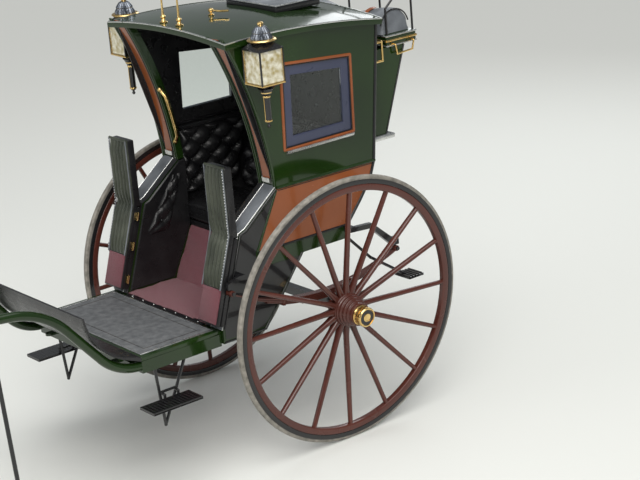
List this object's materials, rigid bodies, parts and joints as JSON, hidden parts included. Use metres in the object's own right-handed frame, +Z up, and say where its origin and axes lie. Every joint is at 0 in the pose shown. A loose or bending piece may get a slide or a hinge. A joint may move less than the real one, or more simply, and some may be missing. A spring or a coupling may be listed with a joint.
{
  "type": "hansom cab",
  "caption": "Two-wheeled horse-drawn cab with open front, swinging knee doors, high rear driver's seat, spoked wheels, lamps and shafts on prop legs.",
  "frame": {"origin": "on the ground, midway between the two sides and midway between the shaft tips and the driver's back rail", "axes": "+X forward towards the horse, +Y to the cab's left, +Z up"},
  "size_m": [3.7276, 1.6978, 2.352],
  "materials": {
    "coach_green": "gloss coach enamel",
    "sienna": "gloss coach enamel",
    "maroon": "gloss enamel",
    "black_iron": "gloss black enamel on iron",
    "brass": "polished",
    "black_leather": "deep-buttoned, semi-gloss",
    "grey_leather": "weathered dull",
    "pad_leather": "fluted, dull",
    "carpet": "cut pile",
    "deck_grey": "ribbed mat",
    "tyre_rubber": "worn",
    "window_blue": "satin enamel",
    "glass": "clear",
    "lamp_body": "black japanned with brass and bevelled glass"
  },
  "bodies": {
    "cab": {"footboard": "deck_grey", "dash": "black_leather", "shaft_left": "coach_green", "shaft_right": "coach_green", "splinter_bar": "coach_green", "foot_well": "carpet", "sills": "coach_green", "seat_base": "black_iron", "wing_left": "coach_green", "wing_right": "coach_green", "quarter_panel_left": "sienna", "quarter_panel_right": "sienna", "side_panel_left": "coach_green", "side_panel_right": "coach_green", "front_pillar_left": "coach_green", "front_pillar_right": "coach_green", "rear_wall": "coach_green", "roof": "coach_green", "window_frames": "window_blue", "window_glass": "glass", "seat_cushion": "black_leather", "back_cushion": "black_leather", "side_cushions": "black_leather", "lamps": "lamp_body", "rein_guide": "brass", "driver_seat_box": "coach_green", "driver_cushion": "grey_leather", "driver_rail": "black_iron", "driver_well": "coach_green", "driver_footboard": "deck_grey", "grab_handles": "brass", "rear_steps": "black_iron", "springs": "maroon", "spring_irons": "black_iron", "axle": "black_iron", "front_steps": "black_iron"},
    "wheel_left": {"tyre_left": "tyre_rubber", "felloe_left": "maroon", "spokes_left": "maroon", "nave_left": "maroon", "hub_cap_left": "brass"},
    "knee_door_left": {"door_outer_left": "pad_leather", "knee_roll_left": "pad_leather", "door_inner_left": "coach_green"},
    "leg_left": {"prop_leg_left": "black_iron"},
    "wheel_right": {"tyre_right": "tyre_rubber", "felloe_right": "maroon", "spokes_right": "maroon", "nave_right": "maroon", "hub_cap_right": "brass"},
    "knee_door_right": {"door_outer_right": "pad_leather", "knee_roll_right": "pad_leather", "door_inner_right": "coach_green"},
    "leg_right": {"prop_leg_right": "black_iron"},
    "hatch_lid": {"roof_hatch": "grey_leather"}
  },
  "joints": [
    {"name": "wheel_turn_left", "type": "hinge", "parent": "cab", "child": "wheel_left", "pos_m": [-1.0436, 0.7, 0.7086], "axis": [0, 0.998, -0.0628], "continuous": true},
    {"name": "wheel_turn_right", "type": "hinge", "parent": "cab", "child": "wheel_right", "pos_m": [-1.0436, -0.7, 0.7086], "axis": [0, 0.998, 0.0628], "continuous": true},
    {"name": "door_swing_left", "type": "hinge", "parent": "cab", "child": "knee_door_left", "pos_m": [-0.36776, 0.345, 0.74752], "axis": [0.3007, 0, -0.9537], "range_deg": [0, 180]},
    {"name": "door_swing_right", "type": "hinge", "parent": "cab", "child": "knee_door_right", "pos_m": [-0.36776, -0.345, 0.74752], "axis": [-0.3007, 0, 0.9537], "range_deg": [0, 180]},
    {"name": "hatch_lift", "type": "hinge", "parent": "cab", "child": "hatch_lid", "pos_m": [-1.3876, 0, 2.224], "axis": [0, -1, 0], "range_deg": [0, 100]},
    {"name": "leg_fold_left", "type": "hinge", "parent": "cab", "child": "leg_left", "pos_m": [0.82856, 0.39007, 1.06875], "axis": [-0.0872, -0.9962, 0], "range_deg": [0, 92]},
    {"name": "leg_fold_right", "type": "hinge", "parent": "cab", "child": "leg_right", "pos_m": [0.82856, -0.39007, 1.06875], "axis": [0.0872, -0.9962, 0], "range_deg": [0, 92]}
  ]
}
